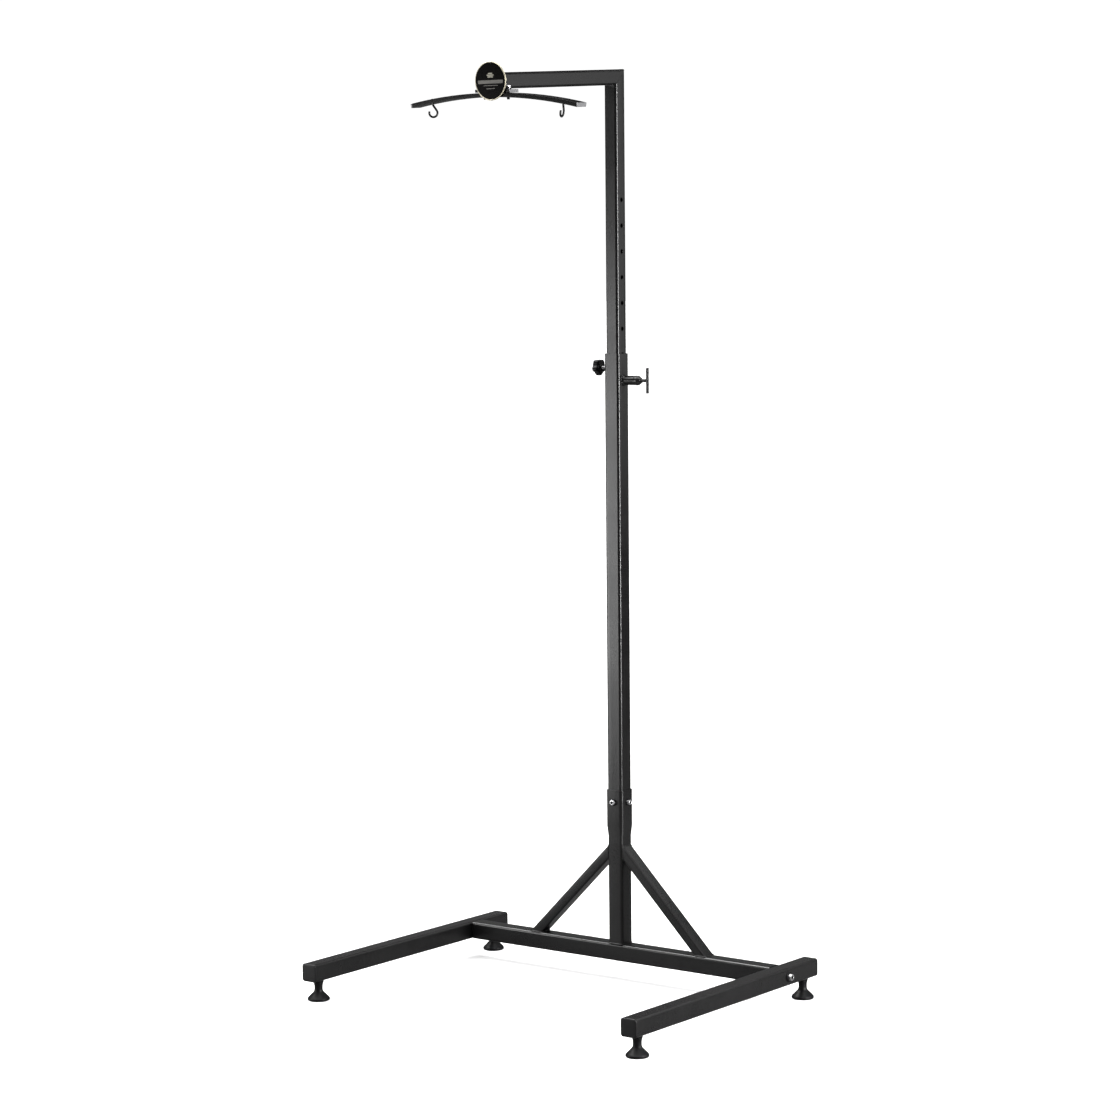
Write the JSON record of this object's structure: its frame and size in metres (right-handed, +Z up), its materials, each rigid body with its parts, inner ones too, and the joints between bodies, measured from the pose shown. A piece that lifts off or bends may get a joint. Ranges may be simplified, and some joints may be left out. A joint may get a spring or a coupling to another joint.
{
  "type": "gong stand",
  "caption": "Free-standing height-adjustable post with a forward arm and an arched hanger bar with swivel hooks, on a U-shaped tube base with levelling feet.",
  "frame": {"origin": "on the floor, under the middle of the stand's bounding box; the vertical post stands 0.2 m behind it", "axes": "+Z up, along the post; -Y the way the arm points; +X the side of the pull pin"},
  "size_m": [0.8122, 0.6056, 1.7948],
  "materials": {
    "powder_coat": "satin black powder coat on steel tube, with a fine orange-peel texture",
    "black_plastic": "moulded black plastic, fine grain",
    "zinc_steel": "zinc-plated steel, slightly dull",
    "screw_steel": "bright plated screw steel",
    "black_steel": "blackened steel, semi-gloss",
    "spring_steel": "drawn spring wire",
    "badge_black": "near-black printed face under clear lacquer",
    "gold_trim": "pale gold polished rim"
  },
  "bodies": {
    "base": {"bar_end_plate_left": "zinc_steel", "bar_end_plate_right": "zinc_steel", "cross_bar": "powder_coat", "foot_insert_back_left": "zinc_steel", "foot_insert_back_right": "zinc_steel", "foot_insert_front_left": "zinc_steel", "foot_insert_front_right": "zinc_steel", "knob_boss": "powder_coat", "left_brace": "powder_coat", "left_leg": "powder_coat", "leg_bolt_left": "screw_steel", "leg_bolt_right": "screw_steel", "leg_cap_back_left": "black_plastic", "leg_cap_back_right": "black_plastic", "leg_cap_front_left": "black_plastic", "leg_cap_front_right": "black_plastic", "leg_washer_left": "black_plastic", "leg_washer_right": "black_plastic", "lower_tube": "powder_coat", "plunger_body": "black_steel", "plunger_collar": "black_steel", "plunger_spring": "spring_steel", "right_brace": "powder_coat", "right_leg": "powder_coat", "short_post": "powder_coat", "socket_nut_front": "zinc_steel", "socket_nut_right": "zinc_steel", "socket_screw_front": "screw_steel", "socket_screw_right": "screw_steel", "socket_washer_front": "black_plastic", "socket_washer_right": "black_plastic"},
    "foot_stud_front_left": {"foot_stud_front_left": "zinc_steel"},
    "foot_pad_front_left": {"foot_pad_front_left": "black_plastic"},
    "foot_stud_front_right": {"foot_stud_front_right": "zinc_steel"},
    "foot_pad_front_right": {"foot_pad_front_right": "black_plastic"},
    "foot_stud_back_left": {"foot_stud_back_left": "zinc_steel"},
    "foot_pad_back_left": {"foot_pad_back_left": "black_plastic"},
    "foot_stud_back_right": {"foot_stud_back_right": "zinc_steel"},
    "foot_pad_back_right": {"foot_pad_back_right": "black_plastic"},
    "upper_post": {"upper_tube": "powder_coat", "arm": "powder_coat", "arm_plug": "black_plastic", "badge_disc": "badge_black", "badge_rim": "gold_trim", "hanger_plate": "powder_coat", "hanger_bar": "powder_coat", "hanger_bolt_left": "screw_steel", "hanger_bolt_right": "screw_steel", "hanger_washer_left": "black_plastic", "hanger_washer_right": "black_plastic"},
    "plunger_pin": {"plunger_pin": "zinc_steel", "pull_handle": "black_steel"},
    "knob_stud": {"knob_stud": "screw_steel"},
    "star_knob": {"star_knob": "black_plastic"},
    "hook_left": {"hook_left": "black_steel"},
    "hook_right": {"hook_right": "black_steel"}
  },
  "joints": [
    {"name": "foot_front_left_travel", "type": "slide", "parent": "base", "child": "foot_stud_front_left", "axis": [0, 0, -1], "range_m": [0, 0.015]},
    {"name": "foot_front_left_turn", "type": "hinge", "parent": "foot_stud_front_left", "child": "foot_pad_front_left", "pos_m": [-0.381, -0.275, 0.02], "axis": [0, 0, -1], "range_deg": [-5, 4325]},
    {"name": "foot_front_right_travel", "type": "slide", "parent": "base", "child": "foot_stud_front_right", "axis": [0, 0, -1], "range_m": [0, 0.015]},
    {"name": "foot_front_right_turn", "type": "hinge", "parent": "foot_stud_front_right", "child": "foot_pad_front_right", "pos_m": [0.381, -0.275, 0.02], "axis": [0, 0, -1], "range_deg": [-5, 4325]},
    {"name": "foot_back_left_travel", "type": "slide", "parent": "base", "child": "foot_stud_back_left", "axis": [0, 0, -1], "range_m": [0, 0.015]},
    {"name": "foot_back_left_turn", "type": "hinge", "parent": "foot_stud_back_left", "child": "foot_pad_back_left", "pos_m": [-0.381, 0.275, 0.02], "axis": [0, 0, -1], "range_deg": [-5, 4325]},
    {"name": "foot_back_right_travel", "type": "slide", "parent": "base", "child": "foot_stud_back_right", "axis": [0, 0, -1], "range_m": [0, 0.015]},
    {"name": "foot_back_right_turn", "type": "hinge", "parent": "foot_stud_back_right", "child": "foot_pad_back_right", "pos_m": [0.381, 0.275, 0.02], "axis": [0, 0, -1], "range_deg": [-5, 4325]},
    {"name": "height", "type": "slide", "parent": "base", "child": "upper_post", "axis": [0, 0, 1], "range_m": [-0.35, 0.3]},
    {"name": "pin_pull", "type": "slide", "parent": "base", "child": "plunger_pin", "axis": [1, 0, 0], "range_m": [0, 0.008], "stiffness_N_per_m": 1200, "springref_m": -0.008, "deforming": ["plunger_spring"]},
    {"name": "knob_travel", "type": "slide", "parent": "base", "child": "knob_stud", "axis": [-1, 0, 0], "range_m": [0, 0.005]},
    {"name": "knob_turn", "type": "hinge", "parent": "knob_stud", "child": "star_knob", "pos_m": [-0.044, 0.2, 1.217], "axis": [-1, 0, 0], "range_deg": [-5, 1805]},
    {"name": "hook_left_swivel", "type": "hinge", "parent": "upper_post", "child": "hook_left", "pos_m": [-0.15481, -0.16895, 1.73021], "axis": [-0.1276, -0.0519, 0.9905], "continuous": true},
    {"name": "hook_right_swivel", "type": "hinge", "parent": "upper_post", "child": "hook_right", "pos_m": [0.15384, -0.16852, 1.72187], "axis": [0.181, -0.0515, 0.9821], "continuous": true}
  ],
  "couplings": [
    {"joint": "foot_front_left_turn", "follows": "foot_front_left_travel", "rad_per_m": 5026.5},
    {"joint": "foot_front_right_turn", "follows": "foot_front_right_travel", "rad_per_m": 5026.5},
    {"joint": "foot_back_left_turn", "follows": "foot_back_left_travel", "rad_per_m": 5026.5},
    {"joint": "foot_back_right_turn", "follows": "foot_back_right_travel", "rad_per_m": 5026.5},
    {"joint": "knob_turn", "follows": "knob_travel", "rad_per_m": 6283.2}
  ]
}
